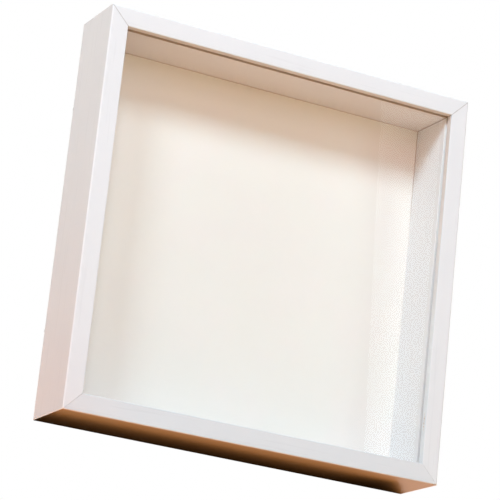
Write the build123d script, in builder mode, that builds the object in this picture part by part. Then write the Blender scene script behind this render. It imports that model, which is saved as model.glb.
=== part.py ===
from build123d import *
import math
import os

# A deep square box frame that stands on its bottom rail or hangs on a wall.
# +X is to the right as seen from the front, the front faces -Y, and +Z is up.
# The origin is the centre of the bottom rail's underside. Lengths are in millimetres.

# Outside of the assembled frame
outer_width = 250.0
outer_height = 250.0
outer_depth = 45.0

# Section of the rails
face_width = 11.5
lip_thickness = 4.5
wall_thickness = 9.2
front_edge_radius = 0.8
sight_edge_radius = 0.5
back_edge_radius = 0.4
mitre_gap = 0.1

# Corner nails, L-shaped plates driven across each mitre from the back
nails_per_corner = 2
nail_leg = 6.0
nail_thickness = 0.5
nail_height = 10.0
nail_gap = 0.1
nail_setback = 2.6

# Sheets and boards that lie in the rebate, from the front to the back
glazing_thickness = 2.0
glazing_clearance = 0.4
liner_thickness = 2.8
liner_clearance = 0.2
liner_edge_radius = 0.3
card_thickness = 1.0
card_clearance = 0.5
board_thickness = 2.5
board_clearance = 0.5

# Turn buttons and their screws
button_from_corner = 55.0
button_reach = 12.0
button_nose_radius = 3.0
button_thickness = 1.2
button_edge_margin = 0.3
button_edge_radius = 0.3
button_play = 0.05
screw_radius = 1.5
screw_length = 13.0
screw_point = 3.0
screw_head_radius = 2.9
screw_head_height = 1.8
screw_head_rounding = 1.1
screw_running_fit = 0.08
pilot_clearance = 0.05
pilot_spare_depth = 0.6
recess_length = 3.2
recess_width = 0.8
recess_depth = 1.0

# Hanger: a folded strap riveted to the backing board, and the ring that turns in it
hanger_drop = 36.0
strap_width = 10.5
strap_thickness = 0.8
strap_length = 12.5
strap_neck = 1.6
strap_neck_turn = 30.0
strap_corner_radius = 2.0
ring_wire_radius = 1.0
ring_width = 17.0
ring_length = 20.0
ring_bar_corner_radius = 2.2
ring_bow_radius = 8.0
ring_running_fit = 0.08
rivet_from_axis = 7.8
rivet_radius = 1.6
rivet_clearance = 0.05
rivet_head_radius = 2.8
rivet_head_height = 0.9
rivet_head_rounding = 0.6
rivet_flange_radius = 2.6
rivet_flange_thickness = 0.5
rivet_flange_recess = 0.1

# Places along the depth, measured back from the front face
liner_front = lip_thickness + glazing_thickness
board_front = outer_depth - board_thickness
card_front = board_front - card_thickness

# The front face's centre, and each side of the square: the way inward from it, its
# distance from the centre and its length
back_way = Vector(0, 1, 0)
front_centre = Vector(0, -outer_depth / 2, outer_height / 2)
sides = {
    "bottom": (Vector(0, 0, 1), outer_height / 2, outer_width),
    "top": (Vector(0, 0, -1), outer_height / 2, outer_width),
    "left": (Vector(1, 0, 0), outer_width / 2, outer_height),
    "right": (Vector(-1, 0, 0), outer_width / 2, outer_height),
}

os.makedirs("parts", exist_ok=True)


def keep(piece, name):
    """Labels a finished piece and writes it under its own name."""
    piece.part.label = name
    export_step(piece.part, f"parts/{name}.step")


def corner_plane(side, depth):
    """The outside corner where a side's bar ends, at a depth. Local X and Y point inward
    along the two sides that meet there, and local Z points back."""
    inward, reach, length = sides[side]
    along = inward.cross(back_way)
    corner = front_centre - inward * reach + along * (length / 2)
    return Plane(corner + back_way * depth, x_dir=inward, z_dir=back_way)


def pivot_planes(side):
    """The two turn button pivots of a side, on the back of its wall. Local X points
    inward over the backing board, and local Z points back."""
    inward, reach, length = sides[side]
    along = inward.cross(back_way)
    middle = front_centre + back_way * outer_depth - inward * (reach - wall_thickness / 2)
    offset = along * (length / 2 - button_from_corner)
    return [Plane(middle + offset * way, x_dir=inward, z_dir=back_way) for way in (-1, 1)]


def mitred_bar(side, outline, rounded_corners):
    """One bar of the mitred square. The outline gives its section as (inward from the
    outside face, back from the front face), and its ends lie on the mitre planes."""
    inward, reach, length = sides[side]
    along = inward.cross(back_way)
    start = front_centre - inward * reach - along * (length / 2)
    with BuildPart() as bar:
        with BuildSketch(Plane(start, x_dir=inward, z_dir=along)) as section:
            with BuildLine():
                Polyline(*outline, close=True)
            make_face()
            for corner, radius in rounded_corners:
                fillet(section.vertices().sort_by_distance(corner)[0], radius)
        extrude(amount=length)
        for corner, way in ((start, 1), (start + along * length, -1)):
            normal = (along * way - inward).normalized()
            split(bisect_by=Plane(corner + normal * (mitre_gap / 2), z_dir=normal))
    return bar


def sheet(front_depth, thickness, clearance):
    """A flat sheet that lies in the rebate with a clearance to the walls."""
    width = outer_width - 2 * (wall_thickness + clearance)
    height = outer_height - 2 * (wall_thickness + clearance)
    place = front_centre + back_way * front_depth
    with BuildPart() as piece:
        with BuildSketch(Plane(place, x_dir=(1, 0, 0), z_dir=back_way)):
            Rectangle(width, height)
        extrude(amount=thickness)
    return piece


# Corner nails, stacked in one kerf at each corner
near = nail_setback
inner = nail_setback + nail_thickness
far = nail_setback + nail_leg
nail_outline = [(near, near), (far, near), (far, inner), (inner, inner), (inner, far), (near, far)]
nail_step = nail_height + nail_gap


def nails(heights):
    """L-shaped plates in every corner, for each (depth of the back end, height)."""
    with BuildPart() as plates:
        for side in sides:
            for depth, height in heights:
                with BuildSketch(corner_plane(side, depth)):
                    with BuildLine():
                        Polyline(*nail_outline, close=True)
                    make_face()
                extrude(amount=-height)
    return plates


nail_levels = [outer_depth - level * nail_step for level in range(nails_per_corner)]
corner_nails = nails([(depth, nail_height) for depth in nail_levels])
keep(corner_nails, "corner_nails")
kerfs = nails([(outer_depth, nails_per_corner * nail_step)])

# Rails: an L in section, its lip in front of the rebate, with kerfs for the corner nails
# and pilot holes for the turn button screws
rail_outline = [
    (0, 0),
    (face_width, 0),
    (face_width, lip_thickness),
    (wall_thickness, lip_thickness),
    (wall_thickness, outer_depth),
    (0, outer_depth),
]
rail_rounding = [
    ((0, 0), front_edge_radius),
    ((face_width, 0), sight_edge_radius),
    ((0, outer_depth), back_edge_radius),
]
for side in sides:
    bar = mitred_bar(side, rail_outline, rail_rounding)
    with BuildPart() as rail:
        add(bar.part)
        add(kerfs.part, mode=Mode.SUBTRACT)
        with Locations(*pivot_planes(side)):
            Hole(screw_radius + pilot_clearance, depth=screw_length + pilot_spare_depth)
    keep(rail, f"rail_{side}")

# Glazing against the back of the lip
glazing_sheet = sheet(lip_thickness, glazing_thickness, glazing_clearance)
keep(glazing_sheet, "glazing_sheet")

# Liner boards that hold the glazing and the display card apart
liner_outer = wall_thickness + liner_clearance
liner_inner = liner_outer + liner_thickness
liner_outline = [
    (liner_outer, liner_front),
    (liner_inner, liner_front),
    (liner_inner, card_front),
    (liner_outer, card_front),
]
for side in sides:
    liner = mitred_bar(side, liner_outline, [((liner_inner, liner_front), liner_edge_radius)])
    keep(liner, f"liner_{side}")

# Display card, the back of the display space
display_card = sheet(card_front, card_thickness, card_clearance)
keep(display_card, "display_card")

# Backing board, flush with the rails' back and held by the turn buttons. The hanger's
# rivet goes through it, with its flange sunk into the front.
eye_radius = ring_wire_radius + ring_running_fit + strap_thickness
ring_axis = front_centre + Vector(0, outer_depth + eye_radius, outer_height / 2 - hanger_drop)
rivet_seat = front_centre + Vector(0, outer_depth, outer_height / 2 - hanger_drop - rivet_from_axis)
board = sheet(board_front, board_thickness, board_clearance)
with BuildPart() as backing_board:
    add(board.part)
    with Locations(Plane(rivet_seat - back_way * board_thickness, z_dir=-back_way)):
        CounterBoreHole(
            rivet_radius + rivet_clearance,
            counter_bore_radius=rivet_flange_radius + rivet_clearance,
            counter_bore_depth=rivet_flange_thickness + rivet_flange_recess,
        )
keep(backing_board, "backing_board")

# Turn buttons: flat plates with a round eye on the wall and a nose over the board
button_eye_radius = wall_thickness / 2 - button_edge_margin
button_ends = {
    "bottom": ("right", "left"),
    "top": ("left", "right"),
    "left": ("lower", "upper"),
    "right": ("upper", "lower"),
}
for side, ends in button_ends.items():
    for pivot, end in zip(pivot_planes(side), ends):
        with BuildPart() as turn_button:
            with BuildSketch(pivot.offset(button_play)):
                Circle(button_eye_radius)
                with Locations((button_reach, 0)):
                    Circle(button_nose_radius)
                make_hull()
            extrude(amount=button_thickness)
            fillet(turn_button.faces().sort_by(Axis.Y)[-1].edges(), button_edge_radius)
            with Locations(pivot):
                Hole(screw_radius + screw_running_fit)
        keep(turn_button, f"turn_button_{side}_{end}")

# Screws, drawn about the Z axis with Z = 0 on the back of the wall, and set in every pivot
head_seat = button_thickness + 2 * button_play
head_top = head_seat + screw_head_height
with BuildPart() as screw:
    with BuildSketch(Plane.XZ) as half:
        with BuildLine():
            Polyline(
                (0, -screw_length),
                (screw_radius, screw_point - screw_length),
                (screw_radius, head_seat),
                (screw_head_radius, head_seat),
                (screw_head_radius, head_top),
                (0, head_top),
                close=True,
            )
        make_face()
        rim = half.vertices().sort_by_distance((screw_head_radius, head_top))[0]
        fillet(rim, screw_head_rounding)
    revolve(axis=Axis.Z)
    with BuildSketch(Plane.XY.offset(head_top)):
        Rectangle(recess_length, recess_width)
        Rectangle(recess_width, recess_length)
    extrude(amount=-recess_depth, mode=Mode.SUBTRACT)
with BuildPart() as turn_button_screws:
    for side in sides:
        with Locations(*pivot_planes(side)):
            add(screw.part)
keep(turn_button_screws, "turn_button_screws")

# Hanger strap: a strip folded double around the ring's bar, seen from the side
strap_doubled = 2 * strap_thickness
neck_angle = math.radians(strap_neck_turn)
strap_start = ring_axis - Vector(strap_width / 2, 0, 0)
with BuildPart() as hanger_strap:
    with BuildSketch(Plane(strap_start, x_dir=back_way, z_dir=(1, 0, 0))):
        Circle(eye_radius)
        with Locations((strap_thickness - eye_radius, 0)):
            Rectangle(strap_doubled, strap_length, align=(Align.CENTER, Align.MAX))
        Polygon(
            (0, 0),
            (strap_doubled - eye_radius, 0),
            (strap_doubled - eye_radius, -eye_radius - strap_neck),
            (eye_radius * math.cos(neck_angle), -eye_radius * math.sin(neck_angle)),
            align=None,
        )
        Circle(ring_wire_radius + ring_running_fit, mode=Mode.SUBTRACT)
    extrude(amount=strap_width)
    fillet(hanger_strap.edges().filter_by(Axis.Y).group_by(Axis.Z)[0], strap_corner_radius)
    with Locations(Plane(rivet_seat + back_way * strap_doubled, z_dir=back_way)):
        Hole(rivet_radius + rivet_clearance)
keep(hanger_strap, "hanger_strap")

# Hanger ring: round wire bent to a D, hanging from its straight bar
with BuildPart() as hanger_ring:
    with BuildLine(Plane(ring_axis, x_dir=(1, 0, 0), z_dir=-back_way)):
        wire_path = FilletPolyline(
            (-ring_width / 2, 0),
            (ring_width / 2, 0),
            (ring_width / 2, -ring_length),
            (-ring_width / 2, -ring_length),
            radius=[ring_bar_corner_radius, ring_bar_corner_radius, ring_bow_radius, ring_bow_radius],
            close=True,
        )
    with BuildSketch(Plane(wire_path @ 0, z_dir=wire_path % 0)):
        Circle(ring_wire_radius)
    sweep(path=wire_path)
keep(hanger_ring, "hanger_ring")

# Rivet, drawn about the Z axis with Z = 0 on the back of the backing board
rivet_front = rivet_flange_recess - board_thickness
with BuildPart() as rivet:
    with BuildSketch(Plane.XZ) as rivet_half:
        with BuildLine():
            Polyline(
                (0, rivet_front),
                (rivet_flange_radius, rivet_front),
                (rivet_flange_radius, rivet_front + rivet_flange_thickness),
                (rivet_radius, rivet_front + rivet_flange_thickness),
                (rivet_radius, strap_doubled),
                (rivet_head_radius, strap_doubled),
                (rivet_head_radius, strap_doubled + rivet_head_height),
                (0, strap_doubled + rivet_head_height),
                close=True,
            )
        make_face()
        rivet_rim = (rivet_head_radius, strap_doubled + rivet_head_height)
        crown = rivet_half.vertices().sort_by_distance(rivet_rim)[0]
        fillet(crown, rivet_head_rounding)
    revolve(axis=Axis.Z)
with BuildPart() as hanger_rivet:
    with Locations(Plane(rivet_seat, z_dir=back_way)):
        add(rivet.part)
keep(hanger_rivet, "hanger_rivet")
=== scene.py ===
"""Looks of a deep white box frame with a pale card in it, on a pale studio floor.

The front faces -Y, +X is to the right as seen from the front, +Z is up, and lengths are
in metres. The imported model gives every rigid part; this script dresses those parts, makes
the display card as a slightly cockled sheet, and sets up the studio and the camera.
"""

import logging
import math
from collections.abc import Mapping, Sequence
from dataclasses import dataclass
from enum import Enum
from functools import reduce
from typing import Optional, Union

import bmesh
import bpy
import numpy as np
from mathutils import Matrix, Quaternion, Vector


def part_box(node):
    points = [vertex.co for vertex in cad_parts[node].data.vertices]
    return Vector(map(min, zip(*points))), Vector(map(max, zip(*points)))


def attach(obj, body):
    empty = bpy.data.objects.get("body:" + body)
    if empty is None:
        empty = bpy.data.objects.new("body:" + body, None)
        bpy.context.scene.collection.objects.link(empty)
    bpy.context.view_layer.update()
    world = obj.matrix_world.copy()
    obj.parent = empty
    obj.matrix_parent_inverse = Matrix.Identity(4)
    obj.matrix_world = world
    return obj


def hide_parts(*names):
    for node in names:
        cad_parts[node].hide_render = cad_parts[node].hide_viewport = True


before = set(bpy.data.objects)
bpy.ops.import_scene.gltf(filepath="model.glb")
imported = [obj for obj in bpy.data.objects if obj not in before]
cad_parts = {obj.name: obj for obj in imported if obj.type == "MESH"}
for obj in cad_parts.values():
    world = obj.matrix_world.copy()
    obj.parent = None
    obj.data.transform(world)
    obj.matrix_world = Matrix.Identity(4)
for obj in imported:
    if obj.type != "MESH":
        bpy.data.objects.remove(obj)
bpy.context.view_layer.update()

log = logging.getLogger("box_frame")

Colour = tuple[float, float, float]
Point = tuple[float, float, float]
Socket = bpy.types.NodeSocket
Feed = Union[Socket, float, Sequence[float]]
Feeds = Mapping[Union[str, int], Feed]

WHITE: Colour = (1.0, 1.0, 1.0)
BLACK: Colour = (0.0, 0.0, 0.0)

# Places on the frame; a reach is a distance from the middle of the square, to a side
FRONT_FACE_Y = -0.0225
RAIL_BACK_Y = 0.0225
CENTRE_HEIGHT = 0.125
OUTSIDE_REACH = 0.125
SIGHT_REACH = 0.1135
REBATE_REACH = 0.1158
LIP_BACK_Y = -0.018
LINER_FRONT_Y = -0.016
LINER_REACH = 0.1128

MERGE_DISTANCE = 1e-7


# --------------------------------------------------------------------------- node work


class Effect(Enum):
    """The shared node groups; a method of Effects with the same name builds each."""

    MITRED_RUN = "mitred_run"
    MOTTLE = "mottle"
    GRAIN = "grain"
    EDGE_WEAR = "edge_wear"
    SPECKS = "specks"
    FIBRES = "fibres"
    PLATING = "plating"


class Wiring:
    """Adds nodes to one node tree and joins them."""

    def __init__(self, tree: bpy.types.NodeTree) -> None:
        """Takes the node tree of a material, a world or a node group to work in."""
        self.tree = tree

    def add(
        self, kind: str, feeds: Optional[Feeds] = None, **settings: object
    ) -> bpy.types.Node:
        """Adds a node, sets it and feeds its inputs.

        Args:
            kind: The node's type name, such as ShaderNodeMath.
            feeds: For each input, by name or number, a socket to join or a plain value.
            **settings: Properties of the node itself.

        Returns:
            The new node.
        """
        node = self.tree.nodes.new(kind)
        for name, value in settings.items():
            setattr(node, name, value)
        self.fill(node.inputs, feeds or {})
        return node

    def fill(self, inputs: Mapping[str, Socket], feeds: Feeds) -> None:
        """Feeds several inputs, by name or number."""
        for name, value in feeds.items():
            self.feed(inputs[name], value)

    def feed(self, socket: Socket, value: Feed) -> None:
        """Joins a socket to another, or sets its value.

        Args:
            socket: The input.
            value: An output, a number, a vector, or a colour with or without its alpha.
        """
        if isinstance(value, bpy.types.NodeSocket):
            self.tree.links.new(value, socket)
        elif socket.type == "RGBA" and len(value) == 3:
            socket.default_value = (*value, 1.0)
        else:
            socket.default_value = value

    def math(self, operation: str, *values: Feed, clamp: bool = False) -> Socket:
        """A Math node on up to three values, and its output."""
        feeds = dict(enumerate(values))
        node = self.add("ShaderNodeMath", feeds, operation=operation, use_clamp=clamp)
        return node.outputs[0]

    def times(self, *values: Feed) -> Feed:
        """The product of the values."""
        return reduce(lambda product, value: self.math("MULTIPLY", product, value), values)

    def vector(self, operation: str, *values: Feed) -> Socket:
        """A Vector Math node on up to three vectors, and its vector output."""
        feeds = dict(enumerate(values))
        return self.add("ShaderNodeVectorMath", feeds, operation=operation).outputs[0]

    def parts(self, vector: Feed) -> tuple[Socket, ...]:
        """The x, y and z of a vector."""
        return tuple(self.add("ShaderNodeSeparateXYZ", {0: vector}).outputs)

    def length(self, vector: Feed) -> Socket:
        """The length of a vector."""
        node = self.add("ShaderNodeVectorMath", {0: vector}, operation="LENGTH")
        return node.outputs["Value"]

    def step(self, value: Feed, start: Feed, end: Feed) -> Socket:
        """A smooth step of a value, 0 at start and 1 at end; start may be the larger one."""
        feeds = {"Value": value, "From Min": start, "From Max": end}
        node = self.add("ShaderNodeMapRange", feeds, interpolation_type="SMOOTHSTEP")
        return node.outputs[0]

    def noise(
        self, point: Feed, scale: Feed, detail: float = 2.0, roughness: float = 0.5
    ) -> Socket:
        """Cloudy noise from 0 to 1 about a half."""
        feeds = {"Vector": point, "Scale": scale, "Detail": detail, "Roughness": roughness}
        return self.add("ShaderNodeTexNoise", feeds).outputs[0]

    def blend(self, share: Feed, first: Feed, second: Feed, kind: str = "MIX") -> Socket:
        """Mixes two colours.

        Args:
            share: How much of the second colour shows.
            first: The first colour.
            second: The second colour.
            kind: How the node combines them.

        Returns:
            The mixed colour.
        """
        node = self.add("ShaderNodeMix", data_type="RGBA", blend_type=kind)
        # Several of its inputs share a name, so the share and the colours go by number
        for number, value in ((0, share), (6, first), (7, second)):
            self.feed(node.inputs[number], value)
        return node.outputs[2]

    def shade(self, colour: Feed, tone: Feed) -> Socket:
        """A colour times a value."""
        grey = self.add("ShaderNodeCombineColor", {0: tone, 1: tone, 2: tone}).outputs[0]
        return self.blend(1.0, colour, grey, "MULTIPLY")

    def bump(self, height: Feed, depth: float) -> Socket:
        """The normal of a height map whose range from 0 to 1 stands for a depth."""
        feeds = {"Height": height, "Strength": 1.0, "Distance": depth}
        return self.add("ShaderNodeBump", feeds).outputs[0]

    def effect(self, effect: Effect, **feeds: Feed) -> Mapping[str, Socket]:
        """Places a shared effect.

        Args:
            effect: The effect, whose node group is built at its first use.
            **feeds: Values or sockets for the effect's inputs.

        Returns:
            The effect's outputs, by name.
        """
        groups = bpy.data.node_groups
        if effect.value not in groups:
            getattr(Effects(), effect.value)()
        return self.add("ShaderNodeGroup", feeds, node_tree=groups[effect.value]).outputs


def empty_wiring(owner: Union[bpy.types.Material, bpy.types.World]) -> Wiring:
    """Clears the nodes of a material or a world.

    Args:
        owner: The material or the world.

    Returns:
        The wiring of its empty node tree.
    """
    owner.use_nodes = True
    owner.node_tree.nodes.clear()
    return Wiring(owner.node_tree)


@dataclass(frozen=True)
class Band:
    """A soft border on a coordinate or a noise: the mask is 0 at start and 1 at end."""

    start: float
    end: float

    def mask(self, w: Wiring, value: Feed) -> Socket:
        """The mask of a value."""
        return w.step(value, self.start, self.end)


@dataclass(frozen=True)
class Spread:
    """What a mask or a noise of 0 and one of 1 are turned into, with a straight line."""

    at_zero: float
    at_one: float

    def of(self, w: Wiring, value: Feed) -> Socket:
        """The value on the line."""
        return w.math("MULTIPLY_ADD", value, self.at_one - self.at_zero, self.at_zero)


class Effects:
    """Builds the node groups that several finishes share.

    NOISE_SWING is how far from a half the noise seldom strays.
    """

    VECTORS = ("Point", "Run")
    LEVEL_SHIFT = 0.73
    SIDE_SHIFT = 0.31
    NOISE_SWING = 0.25
    PORE_SCALE = 0.37
    PORES = Band(0.6, 0.72)
    PORE_DEPTH = 0.35
    WEAR_PATCHES = 90.0
    WEAR_RAGGED = 2.4
    FIBRE_TURNS = ((0.2, 0.6, 0.1), (0.2, 1.9, 0.1))
    FIBRE_STRETCH = (1.0, 1.0, 4.5)
    BRUSH = (4200.0, 900.0, 420.0)

    def _group(
        self, effect: Effect, takes: str, gives: str
    ) -> tuple[Wiring, Mapping[str, Socket], Mapping[str, Socket]]:
        """Starts an empty node group.

        Args:
            effect: The effect, which names the group.
            takes: The inputs' names, with a space between.
            gives: The outputs' names, with a space between.

        Returns:
            The group's wiring, what it is given, and the inputs for what it gives.
        """
        tree = bpy.data.node_groups.new(effect.value, "ShaderNodeTree")
        for ways, names in (("INPUT", takes), ("OUTPUT", gives)):
            for name in names.split():
                kind = "Vector" if name in self.VECTORS else "Float"
                socket = f"NodeSocket{kind}"
                tree.interface.new_socket(name, in_out=ways, socket_type=socket)
        w = Wiring(tree)
        given, out = w.add("NodeGroupInput"), w.add("NodeGroupOutput")
        return w, given.outputs, out.inputs

    def mitred_run(self) -> None:
        """Coordinates that follow the four mitred bars of the square.

        Reach is the larger of the distances to the left or right and up or down from the
        middle of the square. Mitre is the distance to the nearest mitre plane. Run holds
        (along the bar, across it, depth), shifted so that no two bars look alike. Level
        is 1 on the top and bottom bars, and Upper is 1 above the middle.
        """
        names = "Run Reach Mitre Level Upper"
        w, given, out = self._group(Effect.MITRED_RUN, "Point", names)
        x, y, z = w.parts(given["Point"])
        rise = w.math("SUBTRACT", z, CENTRE_HEIGHT)
        sideways, upright = w.math("ABSOLUTE", x), w.math("ABSOLUTE", rise)
        level = w.math("GREATER_THAN", upright, sideways)
        along = w.math("ADD", rise, w.times(level, w.math("SUBTRACT", x, rise)))
        across = w.math("ADD", x, w.times(level, w.math("SUBTRACT", rise, x)))
        side_shift = w.times(w.math("SIGN", across), self.SIDE_SHIFT)
        shift = w.math("MULTIPLY_ADD", level, self.LEVEL_SHIFT, side_shift)
        run = {0: w.math("ADD", along, shift), 1: across, 2: y}
        gap = w.math("ABSOLUTE", w.math("SUBTRACT", sideways, upright))
        answers = {
            "Run": w.add("ShaderNodeCombineXYZ", run).outputs[0],
            "Reach": w.math("MAXIMUM", sideways, upright),
            "Mitre": w.times(gap, math.sqrt(0.5)),
            "Level": level,
            "Upper": w.math("GREATER_THAN", rise, 0.0),
        }
        w.fill(out, answers)

    def mottle(self) -> None:
        """A slow uneven tone about 1, by Amount each way, in patches of about 1 / Scale."""
        w, given, out = self._group(Effect.MOTTLE, "Point Scale Amount", "Tone")
        cloud = w.noise(given["Point"], given["Scale"], 3.0, 0.55)
        swing = w.times(w.math("SUBTRACT", cloud, 0.5), given["Amount"])
        w.fill(out, {"Tone": w.math("MULTIPLY_ADD", swing, 1.0 / self.NOISE_SWING, 1.0)})

    def grain(self) -> None:
        """Pressed grain: noise drawn out along the run, with rarer and coarser deep pores."""
        w, given, out = self._group(Effect.GRAIN, "Run Long Fine", "Height Pores")
        spread = {0: given["Long"], 1: given["Fine"], 2: given["Fine"]}
        spread = w.add("ShaderNodeCombineXYZ", spread).outputs[0]
        drawn = w.vector("MULTIPLY", given["Run"], spread)
        feeds = {0: drawn, "Scale": self.PORE_SCALE}
        coarse = w.add("ShaderNodeVectorMath", feeds, operation="SCALE").outputs[0]
        pores = self.PORES.mask(w, w.noise(coarse, 1.0, 1.0))
        dents = w.times(pores, self.PORE_DEPTH)
        height = w.math("SUBTRACT", w.noise(drawn, 1.0, 3.0, 0.6), dents)
        w.fill(out, {"Height": height, "Pores": pores})

    def edge_wear(self) -> None:
        """A mask along an edge: 1 on it, 0 past Width, with an uneven, patchy border."""
        w, given, out = self._group(Effect.EDGE_WEAR, "Point Distance Width", "Mask")
        patches = w.math("SUBTRACT", w.noise(given["Point"], self.WEAR_PATCHES, 3.0, 0.6), 0.5)
        ragged = w.times(patches, w.times(given["Width"], self.WEAR_RAGGED))
        edge = w.math("ADD", given["Distance"], ragged)
        w.fill(out, {"Mask": w.step(edge, given["Width"], 0.0)})

    def specks(self) -> None:
        """Small round specks: a mask of 1 in the middle of a share of a pattern's cells."""
        w, given, out = self._group(Effect.SPECKS, "Point Scale Size Share", "Mask")
        feeds = {"Vector": given["Point"], "Scale": given["Scale"]}
        cells = w.add("ShaderNodeTexVoronoi", feeds).outputs
        lot = w.add("ShaderNodeSeparateColor", {0: cells["Color"]}).outputs[0]
        dot = w.step(cells["Distance"], given["Size"], 0.0)
        w.fill(out, {"Mask": w.times(dot, w.math("LESS_THAN", lot, given["Share"]))})

    def fibres(self) -> None:
        """Short pressed fibres: two stretched noises that are turned against each other."""
        w, given, out = self._group(Effect.FIBRES, "Point Scale", "Height Tone")
        layers = []
        for turn in self.FIBRE_TURNS:
            feeds = {"Vector": given["Point"], "Rotation": turn, "Scale": self.FIBRE_STRETCH}
            turned = w.add("ShaderNodeMapping", feeds, vector_type="TEXTURE").outputs[0]
            layers.append(w.noise(turned, given["Scale"], 2.0, 0.6))
        tone = w.times(w.math("ADD", *layers), 0.5)
        w.fill(out, {"Height": w.math("MAXIMUM", *layers), "Tone": tone})

    def plating(self) -> None:
        """Zinc plating: a cloudy tone, and a fine brushed height drawn out one way."""
        w, given, out = self._group(Effect.PLATING, "Point Scale", "Tone Height")
        drawn = w.vector("MULTIPLY", given["Point"], self.BRUSH)
        cloud = w.noise(given["Point"], given["Scale"], 3.0, 0.6)
        w.fill(out, {"Tone": cloud, "Height": w.noise(drawn, 1.0, 2.0, 0.6)})


# ----------------------------------------------------------------------------- finishes


@dataclass(frozen=True)
class Mottle:
    """One use of the mottle effect."""

    scale: float
    amount: float

    def tone(self, w: Wiring, point: Feed) -> Socket:
        """The uneven tone about 1."""
        settings = {"Scale": self.scale, "Amount": self.amount}
        return w.effect(Effect.MOTTLE, Point=point, **settings)["Tone"]


@dataclass(frozen=True)
class Specks:
    """One use of the specks effect; size is in cells."""

    scale: float
    size: float
    share: float

    def mask(self, w: Wiring, point: Feed) -> Socket:
        """The mask of the specks."""
        settings = {"Scale": self.scale, "Size": self.size, "Share": self.share}
        return w.effect(Effect.SPECKS, Point=point, **settings)["Mask"]


@dataclass(frozen=True)
class Spot:
    """Where a shaded point lies, as sockets: its coordinates and its place on the bars."""

    point: Socket
    x: Socket
    depth: Socket
    height: Socket
    run: Socket
    reach: Socket
    mitre: Socket
    level: Socket
    upper: Socket

    @classmethod
    def on_bars(cls, w: Wiring, point: Socket) -> "Spot":
        """Finds a point's place on the square of bars.

        Args:
            w: The material's wiring.
            point: Object coordinates.

        Returns:
            The spot.
        """
        bars = w.effect(Effect.MITRED_RUN, Point=point)
        names = ("Run", "Reach", "Mitre", "Level", "Upper")
        return cls(point, *w.parts(point), *(bars[name] for name in names))


@dataclass(frozen=True)
class Finish:
    """A named material on a Principled shader."""

    name: str

    def make(self) -> bpy.types.Material:
        """Builds the material.

        Returns:
            The finished material.
        """
        material = bpy.data.materials.new(self.name)
        w = empty_wiring(material)
        shader = w.add("ShaderNodeBsdfPrincipled")
        self._wire(w, shader.inputs, w.add("ShaderNodeTexCoord").outputs["Object"])
        w.add("ShaderNodeOutputMaterial", {"Surface": self._surface(w, shader.outputs[0])})
        return material

    def _wire(self, w: Wiring, inputs: Mapping[str, Socket], point: Socket) -> None:
        """Feeds the shader's inputs; each kind of finish has its own way."""
        raise NotImplementedError

    def _surface(self, w: Wiring, shader: Socket) -> Socket:
        """What the surface shows, which is the shader unless a finish adds to it."""
        return shader


@dataclass(frozen=True)
class FoilFinish(Finish):
    """White foil on fibreboard; RailFoil and LinerFoil add the edges of their pieces.

    The tints are painted shade on the upper, lower and upright bars, for the light that
    falls on each. The openings say how strongly the seams show along the lower mitres
    (at_zero) and the upper ones (at_one).
    """

    foil: Colour
    upper_painted_shade: Colour
    lower_painted_shade: Colour
    upright_painted_shade: Colour
    roughness: float
    refraction: float
    grain_depth: float
    seam: Colour
    seam_width: float
    openings: Spread
    seam_core: float = 0.25
    grain_long: float = 60.0
    grain_fine: float = 1500.0
    pore_tone: float = 0.032
    mottle: Mottle = Mottle(26.0, 0.012)
    mottled_gloss: float = 0.5
    marks: Specks = Specks(62.0, 0.055, 0.16)
    mark_strength: float = 0.3
    stain: Colour = (0.62, 0.47, 0.34)
    # Painted highlight on the rounded front edges.
    edge_highlight: Colour = (0.9, 0.92, 0.92)

    def _wire(self, w: Wiring, inputs: Mapping[str, Socket], point: Socket) -> None:
        """Lays tone, the painted-shade tints, handling marks, edges with painted highlights
        and shade, seams and bare board over each other.

        Args:
            w: The material's wiring.
            inputs: The shader's inputs.
            point: Object coordinates.
        """
        spot = Spot.on_bars(w, point)
        spread = {"Long": self.grain_long, "Fine": self.grain_fine}
        grain = w.effect(Effect.GRAIN, Run=spot.run, **spread)
        mottle = self.mottle.tone(w, spot.run)
        tone = w.math("MULTIPLY_ADD", grain["Pores"], -self.pore_tone, mottle)
        # Painted shade: each bar gets the tint of the light that falls on it.
        level_painted_shade = w.blend(spot.upper, self.lower_painted_shade, self.upper_painted_shade)
        tint = w.blend(spot.level, self.upright_painted_shade, level_painted_shade)
        colour = w.blend(1.0, w.shade(self.foil, tone), tint, "MULTIPLY")
        marks = w.times(self.marks.mask(w, point), self.mark_strength)
        colour = w.blend(marks, colour, self.stain)
        colour = self._edges(w, spot, colour)
        gap = w.step(spot.mitre, self.seam_width, self.seam_width * self.seam_core)
        colour = w.blend(w.times(gap, self.openings.of(w, spot.upper)), colour, self.seam)
        offset = self.roughness - self.mottled_gloss
        roughness = w.math("MULTIPLY_ADD", mottle, self.mottled_gloss, offset)
        colour, roughness = self._bared(w, spot, colour, roughness)
        w.feed(inputs["Base Color"], colour)
        w.feed(inputs["Roughness"], roughness)
        w.feed(inputs["Normal"], w.bump(grain["Height"], self.grain_depth))
        w.feed(inputs["IOR"], self.refraction)

    def _edges(self, w: Wiring, spot: Spot, colour: Socket) -> Socket:
        """The colour with the piece's own edges in it, with their painted highlights and
        shade.
        """
        raise NotImplementedError

    def _bared(
        self, w: Wiring, spot: Spot, colour: Socket, roughness: Socket
    ) -> tuple[Socket, Socket]:
        """The colour and the roughness, the same as they are where foil covers all."""
        return colour, roughness


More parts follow.
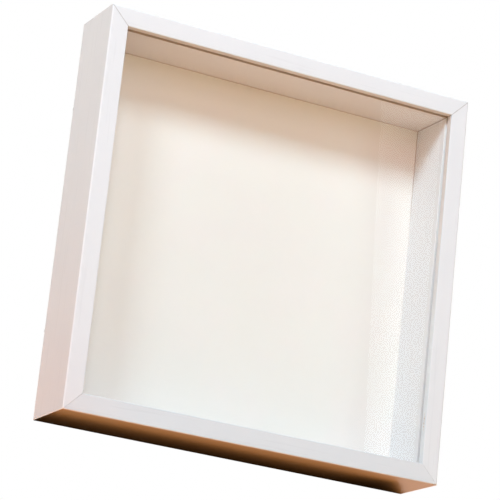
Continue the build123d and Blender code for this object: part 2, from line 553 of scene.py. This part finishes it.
@dataclass(frozen=True)
class RailFoil(FoilFinish):
    """The rails' foil: painted shade on the lip's inner edge, painted highlights and shade on
    the outer edges, a rubbed mark, and bare board in the rebate and behind.
    """

    # Painted shade: a warm tan on the lip's inner face, strong high up and faint low down.
    lip_shade: Colour = (0.74, 0.65, 0.59)
    on_lip: Band = Band(SIGHT_REACH + 0.0003, SIGHT_REACH + 0.00005)
    behind_face: Band = Band(FRONT_FACE_Y + 0.0003, FRONT_FACE_Y + 0.0008)
    lip_height: Band = Band(0.06, 0.2)
    lip_strength: Spread = Spread(0.1, 0.9)

    # Painted shade on the right rail's outer front edge, where the other outer front edges get
    # the painted highlight.
    shaded_edge: Colour = (0.6, 0.61, 0.61)
    near_front: Band = Band(FRONT_FACE_Y + 0.0011, FRONT_FACE_Y + 0.0003)
    near_outside: Band = Band(OUTSIDE_REACH - 0.0011, OUTSIDE_REACH - 0.0003)
    on_right: Band = Band(OUTSIDE_REACH - 0.003, OUTSIDE_REACH - 0.002)
    fold_strength: float = 0.55
    # Painted highlight: a cream line along the lower outer corners.
    cream_edge_highlight: Colour = (0.95, 0.86, 0.74)
    cream_line: Band = Band(0.0008, 0.0003)

    rub_place: Point = (SIGHT_REACH, -0.0202, 0.038)
    rub_spread: Point = (1800.0, 1000.0, 150.0)
    rub_border: Band = Band(1.0, 0.6)
    rub_scale: float = 900.0
    rub_breaks: Band = Band(0.44, 0.56)
    rub_strength: float = 0.8

    bare_board: Colour = (0.47, 0.33, 0.2)
    board_roughness: float = 0.85
    board_fibres: float = 900.0
    board_tone: Spread = Spread(0.55, 1.45)
    foil_turns_in: float = 0.0027
    cut_border: float = 0.00006
    cut_waves: float = 70.0
    cut_wander: float = 0.0009
    on_back: Band = Band(RAIL_BACK_Y - 0.00012, RAIL_BACK_Y - 0.00004)
    behind_lip: Band = Band(LIP_BACK_Y - 0.00006, LIP_BACK_Y + 0.00006)
    in_rebate: Band = Band(REBATE_REACH + 0.0002, REBATE_REACH + 0.00005)
    near_back: Band = Band(RAIL_BACK_Y - 0.0007, RAIL_BACK_Y - 0.0002)
    wear_width: float = 0.0006
    wear_strength: float = 0.22

    def _edges(self, w: Wiring, spot: Spot, colour: Socket) -> Socket:
        """Paints shade on the lip's inner edge and highlights and shade on the folds, and adds
        the rubbed mark.

        Args:
            w: The material's wiring.
            spot: Where the shaded point lies.
            colour: The foil's colour so far.

        Returns:
            The new colour.
        """
        # Painted shade on the lip's inner face, growing with height.
        lip = w.times(
            self.on_lip.mask(w, spot.reach),
            self.behind_face.mask(w, spot.depth),
            self.lip_strength.of(w, self.lip_height.mask(w, spot.height)),
        )
        colour = w.blend(lip, colour, self.lip_shade)

        # Painted highlight along the outer front edges, and painted shade along the right one.
        outside = self.near_outside.mask(w, spot.reach)
        fold = w.times(self.near_front.mask(w, spot.depth), outside, self.fold_strength)
        edge = w.blend(self.on_right.mask(w, spot.x), self.edge_highlight, self.shaded_edge)
        colour = w.blend(fold, colour, edge)
        # Painted highlight along the lower outer corners, at the mitres.
        low_outside = w.math("SUBTRACT", outside, spot.upper)
        line = self.cream_line.mask(w, spot.mitre)
        corner = w.math("MULTIPLY", line, low_outside, clamp=True)
        colour = w.blend(corner, colour, self.cream_edge_highlight)

        span = w.vector("SUBTRACT", spot.point, self.rub_place)
        away = w.length(w.vector("MULTIPLY", span, self.rub_spread))
        breaks = self.rub_breaks.mask(w, w.noise(spot.point, self.rub_scale, 2.0, 0.6))
        rub = w.times(self.rub_border.mask(w, away), breaks, self.rub_strength)
        return w.blend(rub, colour, self.stain)

    def _bared(
        self, w: Wiring, spot: Spot, colour: Socket, roughness: Socket
    ) -> tuple[Socket, Socket]:
        """Bares the board in the rebate and on the back, and wears the back's outer edge.

        Args:
            w: The material's wiring.
            spot: Where the shaded point lies.
            colour: The foil's colour so far.
            roughness: The foil's roughness so far.

        Returns:
            The new colour and roughness.
        """
        waves = w.math("SUBTRACT", w.noise(spot.run, self.cut_waves), 0.5)
        reach = w.math("ADD", spot.reach, w.times(waves, self.cut_wander))
        cut = OUTSIDE_REACH - self.foil_turns_in
        inside_cut = w.step(reach, cut + self.cut_border, cut - self.cut_border)
        back = w.times(self.on_back.mask(w, spot.depth), inside_cut)
        behind_lip = self.behind_lip.mask(w, spot.depth)
        rebate = w.times(behind_lip, self.in_rebate.mask(w, spot.reach))
        bare = w.math("MAXIMUM", back, rebate)

        distance = w.math("SUBTRACT", OUTSIDE_REACH, spot.reach)
        edge = {"Distance": distance, "Width": self.wear_width}
        worn = w.effect(Effect.EDGE_WEAR, Point=spot.point, **edge)["Mask"]
        worn = w.times(worn, self.near_back.mask(w, spot.depth), self.wear_strength)

        fibres = w.effect(Effect.FIBRES, Point=spot.point, Scale=self.board_fibres)
        board = w.shade(self.bare_board, self.board_tone.of(w, fibres["Tone"]))
        colour = w.blend(w.math("MAXIMUM", bare, worn), colour, board)
        return colour, w.blend(bare, roughness, (self.board_roughness,) * 3)


@dataclass(frozen=True)
class LinerFoil(FoilFinish):
    """The liner boards' foil: a painted highlight beside the glazing, and painted shade on the
    front ends.
    """

    # Painted highlight on the upright boards' front edges, high up.
    near_front: Band = Band(LINER_FRONT_Y + 0.0012, LINER_FRONT_Y + 0.0006)
    high_up: Band = Band(0.08, 0.2)
    edge_highlight_strength: float = 0.8
    # Painted shade on the boards' front ends in the glazing slot: strong on the top board,
    # light on the upright boards low down.
    front_end: Band = Band(LINER_FRONT_Y + 0.00026, LINER_FRONT_Y + 0.00008)
    low_down: Band = Band(0.2, 0.08)
    slot_shade: Colour = (0.42, 0.44, 0.46)
    top_shade_strength: float = 0.5
    side_shade_strength: float = 0.14

    def _edges(self, w: Wiring, spot: Spot, colour: Socket) -> Socket:
        """Paints a highlight on the upright boards' front edges high up, and paints shade on
        the boards' front ends.

        Args:
            w: The material's wiring.
            spot: Where the shaded point lies.
            colour: The foil's colour so far.

        Returns:
            The new colour.
        """
        upright = w.math("SUBTRACT", 1.0, spot.level)
        # Painted highlight on the upright boards' front edges, high up.
        high = w.times(self.high_up.mask(w, spot.height), self.edge_highlight_strength)
        pale = w.times(upright, high, self.near_front.mask(w, spot.depth))
        colour = w.blend(pale, colour, self.edge_highlight)
        # Painted shade on the front ends: the slot colour on the upright boards, the seam
        # colour on the top board.
        top = w.times(spot.level, spot.upper, self.top_shade_strength)
        side = w.times(upright, self.low_down.mask(w, spot.height))
        strength = w.math("MULTIPLY_ADD", side, self.side_shade_strength, top)
        share = w.times(self.front_end.mask(w, spot.depth), strength)
        return w.blend(share, colour, w.blend(spot.level, self.slot_shade, self.seam))


@dataclass(frozen=True)
class GlazingFinish(Finish):
    """Clear glazing that lets light through without a shadow, with faint smears."""

    tint: Colour = (0.985, 0.993, 0.99)
    shadow: Colour = (0.97, 0.985, 0.98)
    refraction: float = 1.2
    mottle: Mottle = Mottle(14.0, 0.5)
    smears: Band = Band(1.15, 1.9)
    smear_roughness: float = 0.03

    def _wire(self, w: Wiring, inputs: Mapping[str, Socket], point: Socket) -> None:
        """Makes clear glass whose smears are a little rough.

        Args:
            w: The material's wiring.
            inputs: The shader's inputs.
            point: Object coordinates.
        """
        smear = self.smears.mask(w, self.mottle.tone(w, point))
        w.feed(inputs["Base Color"], self.tint)
        w.feed(inputs["Roughness"], w.times(smear, self.smear_roughness))
        w.feed(inputs["Transmission Weight"], 1.0)
        w.feed(inputs["IOR"], self.refraction)

    def _surface(self, w: Wiring, shader: Socket) -> Socket:
        """Makes the glass plainly clear for the rays that carry light.

        Args:
            w: The material's wiring.
            shader: The glass.

        Returns:
            The glass mixed with the clear surface.
        """
        ray = w.add("ShaderNodeLightPath").outputs
        unseen = w.math("MAXIMUM", ray["Is Shadow Ray"], ray["Is Diffuse Ray"])
        clear = w.add("ShaderNodeBsdfTransparent", {"Color": self.shadow}).outputs[0]
        return w.add("ShaderNodeMixShader", {0: unseen, 1: shader, 2: clear}).outputs[0]


@dataclass(frozen=True)
class CardFinish(Finish):
    """Matte warm white card with faint fibres and flecks, and a brown line of painted shade
    where it meets the liner boards, high up only.

    The painted shade's strengths are those along the upright sides (at_zero) and the top
    (at_one).
    """

    card: Colour
    blush: Colour = (0.893, 0.848, 0.797)
    blush_scale: float = 24.0
    blush_patches: Band = Band(0.38, 0.66)
    roughness: float = 0.88
    mottle: Mottle = Mottle(11.0, 0.02)
    fibre_scale: float = 620.0
    fibre_tone: Spread = Spread(0.975, 1.025)
    fibre_depth: float = 0.00003
    flecks: Specks = Specks(150.0, 0.06, 0.1)
    fleck_strength: float = 0.12
    fleck: Colour = (0.6, 0.5, 0.38)
    # Painted shade: a brown line where the card meets the liner boards, high up.
    joint_shade: Colour = (0.4, 0.24, 0.14)
    joint_shade_line: Band = Band(LINER_REACH - 0.0006, LINER_REACH - 0.0002)
    joint_shade_height: Band = Band(0.14, 0.235)
    joint_shade_strength: Spread = Spread(0.65, 0.45)

    def _wire(self, w: Wiring, inputs: Mapping[str, Socket], point: Socket) -> None:
        """Lays blush, flecks and the painted shade line at the liners over the card's colour.

        Args:
            w: The material's wiring.
            inputs: The shader's inputs.
            point: Object coordinates.
        """
        spot = Spot.on_bars(w, point)
        mottle = self.mottle.tone(w, point)
        fibres = w.effect(Effect.FIBRES, Point=point, Scale=self.fibre_scale)
        patches = self.blush_patches.mask(w, w.noise(point, self.blush_scale, 3.0, 0.6))
        tone = w.times(mottle, self.fibre_tone.of(w, fibres["Tone"]))
        colour = w.shade(w.blend(patches, self.card, self.blush), tone)
        flecks = w.times(self.flecks.mask(w, point), self.fleck_strength)
        colour = w.blend(flecks, colour, self.fleck)
        # Painted shade along the card's edge at the liner boards, only in the upper part.
        strength = self.joint_shade_strength.of(w, spot.level)
        shown = w.times(self.joint_shade_height.mask(w, spot.height), strength)
        joint_shade = w.times(self.joint_shade_line.mask(w, spot.reach), shown)
        w.feed(inputs["Base Color"], w.blend(joint_shade, colour, self.joint_shade))
        w.feed(inputs["Roughness"], w.times(mottle, self.roughness))
        w.feed(inputs["Normal"], w.bump(fibres["Height"], self.fibre_depth))


@dataclass(frozen=True)
class HardboardFinish(Finish):
    """Brown pressed hardboard with pale fibres and the print of the press screen."""

    board: Colour = (0.235, 0.127, 0.062)
    pale_fibre: Colour = (0.36, 0.22, 0.125)
    fibre_scale: float = 520.0
    flecks: Band = Band(0.55, 0.78)
    fleck_strength: float = 0.75
    roughness: Spread = Spread(0.62, 0.76)
    mottle: Mottle = Mottle(30.0, 0.07)
    screen_pitch: float = 0.0018
    screen_tone: Spread = Spread(0.87, 1.09)
    screen_height: float = 0.7
    fibre_height: float = 0.5
    relief: float = 0.00012

    def _wire(self, w: Wiring, inputs: Mapping[str, Socket], point: Socket) -> None:
        """Lays fibres and the print, the product of two sine waves, over the board.

        Args:
            w: The material's wiring.
            inputs: The shader's inputs.
            point: Object coordinates.
        """
        x, _, z = w.parts(point)
        turns = 2.0 * math.pi / self.screen_pitch
        waves = [w.math("SINE", w.times(way, turns)) for way in (x, z)]
        screen = w.math("MULTIPLY_ADD", w.times(*waves), 0.5, 0.5)
        fibres = w.effect(Effect.FIBRES, Point=point, Scale=self.fibre_scale)["Height"]
        flecks = self.flecks.mask(w, fibres)
        pale = w.times(flecks, self.fleck_strength)
        tone = w.times(self.mottle.tone(w, point), self.screen_tone.of(w, screen))
        colour = w.shade(w.blend(pale, self.board, self.pale_fibre), tone)
        print_height = w.times(screen, self.screen_height)
        height = w.math("ADD", print_height, w.times(fibres, self.fibre_height))
        w.feed(inputs["Base Color"], colour)
        w.feed(inputs["Roughness"], self.roughness.of(w, flecks))
        w.feed(inputs["Normal"], w.bump(height, self.relief))


@dataclass(frozen=True)
class SteelFinish(Finish):
    """Steel with clouds and spots of a duller, rougher tone."""

    steel: Colour
    dull: Colour
    roughness: float
    dull_roughness: float = 0.16
    cloud_scale: float = 420.0
    clouds: Band = Band(0.42, 0.66)
    spots: Specks = Specks(700.0, 0.3, 0.14)
    brush_depth: float = 0.000004

    def _wire(self, w: Wiring, inputs: Mapping[str, Socket], point: Socket) -> None:
        """Mixes the bright and the dull steel by the clouds and the spots.

        Args:
            w: The material's wiring.
            inputs: The shader's inputs.
            point: Object coordinates.
        """
        plating = w.effect(Effect.PLATING, Point=point, Scale=self.cloud_scale)
        clouds = self.clouds.mask(w, plating["Tone"])
        share = w.math("MAXIMUM", clouds, self.spots.mask(w, point))
        roughness = w.math("MULTIPLY_ADD", share, self.dull_roughness, self.roughness)
        w.feed(inputs["Base Color"], w.blend(share, self.steel, self.dull))
        w.feed(inputs["Roughness"], roughness)
        w.feed(inputs["Normal"], w.bump(plating["Height"], self.brush_depth))
        w.feed(inputs["Metallic"], 1.0)


# ----------------------------------------------------------------- surfaces and dressing


def mesh_from_grid(
    name: str, grid: np.ndarray, closed_round: bool = False
) -> bpy.types.Object:
    """An object from a grid of points, joined into four-sided faces.

    Args:
        name: The object's name.
        grid: Points of shape (rows, columns, 3).
        closed_round: True joins the last column to the first.

    Returns:
        The object, linked to the scene, at the origin.
    """
    rows, columns, _ = grid.shape
    number = np.arange(rows * columns).reshape(rows, columns)
    if closed_round:
        number = np.concatenate([number, number[:, :1]], axis=1)
    corners = [number[:-1, :-1], number[:-1, 1:], number[1:, 1:], number[1:, :-1]]
    faces = np.stack(corners, axis=-1)
    mesh = bpy.data.meshes.new(name)
    mesh.from_pydata(grid.reshape(-1, 3).tolist(), [], faces.reshape(-1, 4).tolist())
    mesh.validate()
    piece = bpy.data.objects.new(name, mesh)
    bpy.context.scene.collection.objects.link(piece)
    return piece


def merge_and_face_out(piece: bpy.types.Object) -> None:
    """Merges doubled points, drops empty faces and turns every face outwards.

    Args:
        piece: A mesh object.
    """
    work = bmesh.new()
    work.from_mesh(piece.data)
    bmesh.ops.remove_doubles(work, verts=work.verts, dist=MERGE_DISTANCE)
    bmesh.ops.recalc_face_normals(work, faces=work.faces)
    work.to_mesh(piece.data)
    work.free()


def dress(nodes: Sequence[str], material: bpy.types.Material) -> None:
    """Puts a material on CAD nodes, whose meshes stay as they are.

    Args:
        nodes: The nodes' names.
        material: The material.
    """
    for name in nodes:
        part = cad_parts[name]
        part.data.materials.clear()
        part.data.materials.append(material)
        log.info("%s: %s", name, material.name)


@dataclass
class RailSquare:
    """The four mitred rails and the nails that hold their corners."""

    rails: tuple[str, ...] = ("rail_top", "rail_bottom", "rail_left", "rail_right")
    nails: tuple[str, ...] = ("corner_nails",)
    foil: RailFoil = RailFoil(
        name="white_rail_foil",
        foil=(0.779, 0.8, 0.803),
        # Painted shade: the lower rails a little darker than the rest.
        upper_painted_shade=WHITE,
        lower_painted_shade=(0.945, 0.945, 0.945),
        upright_painted_shade=WHITE,
        roughness=0.46,
        refraction=1.45,
        grain_depth=0.00002,
        seam=(0.36, 0.31, 0.27),
        seam_width=0.00034,
        openings=Spread(0.07, 0.5),
    )
    nail_steel: SteelFinish = SteelFinish(
        "corner_nail_steel", (0.5, 0.5, 0.51), (0.3, 0.27, 0.25), 0.42
    )

    def build(self) -> None:
        """Dresses the rails and the nails."""
        dress(self.rails, self.foil.make())
        dress(self.nails, self.nail_steel.make())


@dataclass
class LinerBox:
    """The four liner boards round the inside, between the glazing and the card."""

    boards: tuple[str, ...] = ("liner_top", "liner_bottom", "liner_left", "liner_right")
    foil: LinerFoil = LinerFoil(
        name="white_liner_foil",
        foil=(0.85, 0.812, 0.785),
        # Painted shade: warm on the upper and lower boards, cool on the upright ones.
        upper_painted_shade=(0.95, 0.9, 0.88),
        lower_painted_shade=(0.96, 0.9, 0.85),
        upright_painted_shade=(0.95, 0.965, 0.99),
        roughness=0.62,
        refraction=1.33,
        grain_depth=0.000012,
        seam=(0.34, 0.19, 0.11),
        seam_width=0.00036,
        openings=Spread(0.2, 0.85),
    )

    def build(self) -> None:
        """Dresses the liner boards."""
        dress(self.boards, self.foil.make())


@dataclass
class Glazing:
    """The clear sheet behind the lip."""

    sheet: tuple[str, ...] = ("glazing_sheet",)
    clear: GlazingFinish = GlazingFinish("clear_glazing")

    def build(self) -> None:
        """Dresses the glazing."""
        dress(self.sheet, self.clear.make())


@dataclass
class DisplayCard:
    """The pale card at the back of the display space, slightly cockled as card is.

    Each wave holds its cycles in a metre, across and up, and the angle it starts at.
    """

    node: str = "display_card"
    paper: CardFinish = CardFinish("warm_white_card", (0.885, 0.855, 0.795))
    thickness: float = 0.0006
    cockle: float = 0.00016
    waves: tuple[tuple[float, float, float], ...] = (
        (9.0, 4.0, 0.4),
        (-5.0, 11.0, 2.1),
        (17.0, 13.0, 4.0),
    )
    columns: int = 120

    def _cockle(self, x: np.ndarray, z: np.ndarray) -> np.ndarray:
        """Height of the card's surface, the mean of the cosine waves, from -1 to 1."""
        swing = [
            np.cos(along * math.pi * x * 2.0 + up * math.pi * z * 2.0 + start)
            for along, up, start in self.waves
        ]
        return np.mean(swing, axis=0)

    def _grid(self) -> np.ndarray:
        """The front and the back face and the cut edges between them as one closed grid.

        Each row of the grid goes round the card at one height: left to right over the
        front, then right to left over the back. The first and last rows draw in to a line
        across the thickness, which closes the lower and the upper edge.

        Returns:
            Points of shape (rows, columns, 3).
        """
        low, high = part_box(self.node)
        middle = (low.y + high.y) / 2.0
        across = np.linspace(low.x, high.x, self.columns)
        heights = np.linspace(low.z, high.z, self.columns)
        rows = np.concatenate([[heights[0]], heights, [heights[-1]]])
        x = np.concatenate([across, across[::-1]])[None, :] * np.ones((len(rows), 1))
        z = rows[:, None] * np.ones((1, 2 * self.columns))
        side = np.concatenate([-np.ones(self.columns), np.ones(self.columns)])[None, :]
        half = np.full((len(rows), 1), self.thickness / 2.0)
        half[0] = half[-1] = 0.0
        y = middle + side * half + self._cockle(x, z) * self.cockle
        return np.stack([x, y, z], axis=-1)

    def build(self) -> None:
        """Makes the card and puts it in the CAD card's place."""
        card = mesh_from_grid("display_card_sheet", self._grid(), closed_round=True)
        merge_and_face_out(card)
        card.data.materials.append(self.paper.make())
        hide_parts(self.node)
        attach(card, "frame")
        log.info("%s: %d faces", card.name, len(card.data.polygons))


@dataclass
class BackingBoard:
    """The hardboard that closes the back."""

    board: tuple[str, ...] = ("backing_board",)
    hardboard: HardboardFinish = HardboardFinish("brown_hardboard")

    def build(self) -> None:
        """Dresses the backing board."""
        dress(self.board, self.hardboard.make())


@dataclass
class TurnButtons:
    """The eight turn buttons and their screws."""

    prefix: str = "turn_button_"
    screws: tuple[str, ...] = ("turn_button_screws",)
    plate: SteelFinish = SteelFinish(
        "turn_button_zinc", (0.62, 0.63, 0.64), (0.47, 0.47, 0.46), 0.34
    )
    screw: SteelFinish = SteelFinish(
        "screw_zinc", (0.66, 0.65, 0.61), (0.5, 0.48, 0.43), 0.24
    )

    def names(self) -> list[str]:
        """The buttons' node names."""
        named = (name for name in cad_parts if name.startswith(self.prefix))
        return sorted(name for name in named if name not in self.screws)

    def build(self) -> None:
        """Dresses the buttons and the screws."""
        dress(self.names(), self.plate.make())
        dress(self.screws, self.screw.make())


@dataclass
class Hanger:
    """The folded strap, its rivet and its ring."""

    strap: tuple[str, ...] = ("hanger_strap", "hanger_rivet")
    ring: tuple[str, ...] = ("hanger_ring",)
    strap_steel: SteelFinish = SteelFinish(
        "hanger_strap_zinc", (0.6, 0.61, 0.62), (0.45, 0.45, 0.45), 0.3
    )
    ring_steel: SteelFinish = SteelFinish(
        "hanger_ring_zinc", (0.68, 0.68, 0.69), (0.5, 0.5, 0.5), 0.2
    )

    def build(self) -> None:
        """Dresses the strap, the rivet and the ring."""
        dress(self.strap, self.strap_steel.make())
        dress(self.ring, self.ring_steel.make())


# ------------------------------------------------------------------------------- studio


class Ray(Enum):
    """Kinds of ray that see the white background."""

    CAMERA = "Is Camera Ray"
    GLOSSY = "Is Glossy Ray"
    TRANSMISSION = "Is Transmission Ray"


def background_share(w: Wiring) -> Feed:
    """Tells the rays that see the background from those that carry its light.

    Args:
        w: The wiring of a material or a world.

    Returns:
        1 for the rays that see it, 0 for the others.
    """
    seen = w.add("ShaderNodeLightPath").outputs
    share: Feed = 0.0
    for ray in Ray:
        share = w.math("ADD", share, seen[ray.value], clamp=True)
    return share


@dataclass(frozen=True)
class Lamp:
    """A square soft lamp that looks at a point of the frame.

    The azimuth is 0 in front and grows to the right; angles are in degrees.
    """

    name: str
    azimuth: float
    elevation: float
    size: float
    power: float
    colour: Colour = WHITE
    distance: float = 2.6
    aim: Point = (0.0, 0.0, CENTRE_HEIGHT)

    def build(self) -> None:
        """Puts the lamp into the scene, unseen by the camera and in reflections."""
        turn, lift = math.radians(self.azimuth), math.radians(self.elevation)
        level = math.cos(lift)
        way = Vector((math.sin(turn) * level, -math.cos(turn) * level, math.sin(lift)))
        data = bpy.data.lights.new(self.name, "AREA")
        data.shape = "SQUARE"
        data.size = self.size
        data.energy = self.power
        data.color = self.colour
        lamp = bpy.data.objects.new(self.name, data)
        bpy.context.scene.collection.objects.link(lamp)
        lamp.location = Vector(self.aim) + way * self.distance
        lamp.rotation_mode = "QUATERNION"
        lamp.rotation_quaternion = (-way).to_track_quat("-Z", "Y")
        lamp.visible_camera = False
        lamp.visible_glossy = False
        log.info("lamp %s: %.1f W", self.name, self.power)


@dataclass(frozen=True)
class Surroundings:
    """White to look at, dim grey light from above and warm light from below."""

    above: Colour = (0.03, 0.03, 0.03)
    below: Colour = (0.68, 0.255, 0.07)

    def build(self) -> None:
        """Makes the world."""
        world = bpy.data.worlds.new("studio")
        bpy.context.scene.world = world
        w = empty_wiring(world)
        up = w.parts(w.add("ShaderNodeTexCoord").outputs["Generated"])[2]
        light = w.blend(w.math("GREATER_THAN", up, 0.0), self.below, self.above)
        colour = w.blend(background_share(w), light, WHITE)
        glow = w.add("ShaderNodeBackground", {"Color": colour, "Strength": 1.0})
        w.add("ShaderNodeOutputWorld", {"Surface": glow.outputs[0]})


@dataclass(frozen=True)
class Floor:
    """A pale round floor that keeps the frame's shadow and is clear from underneath.

    What looks at it sees the tone, and plain white farther out. What it lights, it lights
    with the warm bounce, which is warmest beside the frame's left side.
    """

    tone: Colour = (0.94, 0.92, 0.89)
    bounce: Colour = (0.8, 0.505, 0.285)
    warmest: Colour = (0.95, 0.31, 0.03)
    warm_place: Point = (-0.225, 0.0, 0.0)
    warm_border: Band = Band(0.16, 0.064)
    white_border: Band = Band(0.315, 0.9)
    height: float = 0.0002
    first_ring: float = 0.2
    radius: float = 5.0
    rings: int = 24
    sides: int = 96

    def _grid(self) -> np.ndarray:
        """Rings round the origin, whose radii grow by a constant factor.

        Returns:
            Points of shape (rows, columns, 3).
        """
        radii = np.geomspace(self.first_ring, self.radius, self.rings)
        rings = np.concatenate([[0.0], radii])
        turns = np.linspace(0.0, 2.0 * math.pi, self.sides, endpoint=False)
        x = rings[:, None] * np.cos(turns)[None, :]
        y = rings[:, None] * np.sin(turns)[None, :]
        return np.stack([x, y, np.full_like(x, self.height)], axis=-1)

    def _material(self) -> bpy.types.Material:
        """Makes the floor's own material, on plain shaders.

        Returns:
            The material.
        """
        material = bpy.data.materials.new("studio_floor")
        w = empty_wiring(material)
        place = w.add("ShaderNodeTexCoord").outputs["Object"]
        aside = w.length(w.vector("SUBTRACT", place, self.warm_place))
        bounce = w.blend(self.warm_border.mask(w, aside), self.bounce, self.warmest)
        seen = background_share(w)
        tone = w.blend(seen, bounce, self.tone)
        pale = w.add("ShaderNodeBsdfDiffuse", {"Color": tone}).outputs[0]
        white = w.add("ShaderNodeEmission", {"Color": WHITE, "Strength": 1.0}).outputs[0]
        share = w.times(self.white_border.mask(w, w.length(place)), seen)
        top = w.add("ShaderNodeMixShader", {0: share, 1: pale, 2: white}).outputs[0]
        under = w.add("ShaderNodeNewGeometry").outputs["Backfacing"]
        clear = w.add("ShaderNodeBsdfTransparent").outputs[0]
        both = w.add("ShaderNodeMixShader", {0: under, 1: top, 2: clear}).outputs[0]
        w.add("ShaderNodeOutputMaterial", {"Surface": both})
        return material

    def build(self) -> None:
        """Makes the floor."""
        floor = mesh_from_grid("studio_floor", self._grid(), closed_round=True)
        merge_and_face_out(floor)
        if floor.data.polygons[0].normal.z < 0.0:
            floor.data.flip_normals()
        floor.data.materials.append(self._material())


@dataclass(frozen=True)
class UndersideShade:
    """A black card under the back of the frame, unseen by the camera.

    Its right edge slants, and there it rises towards the frame, which sharpens the shade.
    """

    gap: float = 0.013
    gap_right: float = 0.003
    front: float = -0.009
    back: float = 0.35
    left: float = -0.5
    right_front: float = 0.104
    right_back: float = 0.127
    right_limit: float = 0.4
    rise_from: float = 0.066
    rise_length: float = 0.05
    rows: int = 12
    columns: int = 120

    def _grid(self) -> np.ndarray:
        """A level sheet whose height is a clipped straight line from left to right.

        Returns:
            Points of shape (rows, columns, 3).
        """
        depth = np.linspace(self.front, self.back, self.rows)
        lean = (self.right_back - self.right_front) / (RAIL_BACK_Y - self.front)
        right = self.right_front + (depth - self.front) * lean
        right = np.minimum(right, self.right_limit)
        left = np.full_like(depth, self.left)
        share = np.linspace(0.0, 1.0, self.columns)[None, :]
        x = left[:, None] + (right - left)[:, None] * share
        y = depth[:, None] * np.ones_like(share)
        closing = np.clip((x - self.rise_from) / self.rise_length, 0.0, 1.0)
        z = -self.gap + (self.gap - self.gap_right) * closing
        return np.stack([x, y, z], axis=-1)

    def build(self) -> None:
        """Makes the card."""
        shade = mesh_from_grid("underside_shade", self._grid())
        material = bpy.data.materials.new("black_card")
        w = empty_wiring(material)
        black = w.add("ShaderNodeBsdfDiffuse", {"Color": BLACK}).outputs[0]
        w.add("ShaderNodeOutputMaterial", {"Surface": black})
        shade.data.materials.append(material)
        shade.visible_camera = False


@dataclass
class Studio:
    """The surroundings, the floor, the shade and the lamps.

    The two keys stand so that their shadows of the top rail end at one height.
    """

    surroundings: Surroundings = Surroundings()
    floor: Floor = Floor()
    shade: UndersideShade = UndersideShade()
    lamps: tuple[Lamp, ...] = (
        Lamp("key_left", -50.0, 30.5, 0.65, 28.9, (0.64, 0.84, 1.0)),
        Lamp("key_front_left", -20.0, 40.5, 0.65, 35.9, (0.698, 0.855, 1.0)),
        Lamp("low_front_fill", -20.0, 18.0, 0.95, 10.5, (1.0, 0.625, 0.67)),
        Lamp("low_right_fill", 40.0, 12.0, 0.95, 13.8, (0.755, 0.923, 1.0)),
        Lamp("left_side_fill", -80.0, 37.0, 1.8, 7.8, (0.85, 0.93, 1.0)),
        Lamp("warm_top_fill", 180.0, 75.0, 1.4, 9.0, (1.0, 0.45, 0.1)),
        Lamp("right_side_fill", 105.0, 25.0, 1.2, 19.5),
        Lamp("back_fill_right", 150.0, 28.0, 1.4, 18.2),
        Lamp("back_fill_left", -150.0, 28.0, 1.4, 13.0),
    )

    def build(self) -> None:
        """Sets up the studio and the plain view transform."""
        for item in (self.surroundings, self.floor, self.shade, *self.lamps):
            item.build()
        bpy.context.scene.view_settings.view_transform = "Standard"


@dataclass(frozen=True)
class View:
    """The photograph's camera: low, to the left, and turned a little about its own axis."""

    location: Point = (-0.63701, -1.34446, -0.30324)
    aim: Point = (-0.01764, -0.0225, 0.11911)
    roll: float = 6.0705
    lens: float = 181.512
    sensor: float = 36.0
    far: float = 50.0

    def build(self) -> None:
        """Makes the camera the scene's camera."""
        data = bpy.data.cameras.new("photo_camera")
        data.lens = self.lens
        data.sensor_width = self.sensor
        data.sensor_fit = "HORIZONTAL"
        data.clip_end = self.far
        camera = bpy.data.objects.new("photo_camera", data)
        bpy.context.scene.collection.objects.link(camera)
        camera.location = self.location
        camera.rotation_mode = "QUATERNION"
        look = (Vector(self.aim) - Vector(self.location)).to_track_quat("-Z", "Y")
        roll = Quaternion((0.0, 0.0, 1.0), math.radians(self.roll))
        camera.rotation_quaternion = look @ roll
        bpy.context.scene.camera = camera


def main() -> None:
    """Builds the pieces, the studio and the camera, in that order."""
    logging.basicConfig(level=logging.INFO, format="%(message)s")
    pieces = (RailSquare, LinerBox, Glazing, DisplayCard, BackingBoard, TurnButtons, Hanger)
    for piece in pieces:
        piece().build()
        log.info("built %s", piece.__name__)
    Studio().build()
    View().build()


if __name__ == "__main__":
    main()
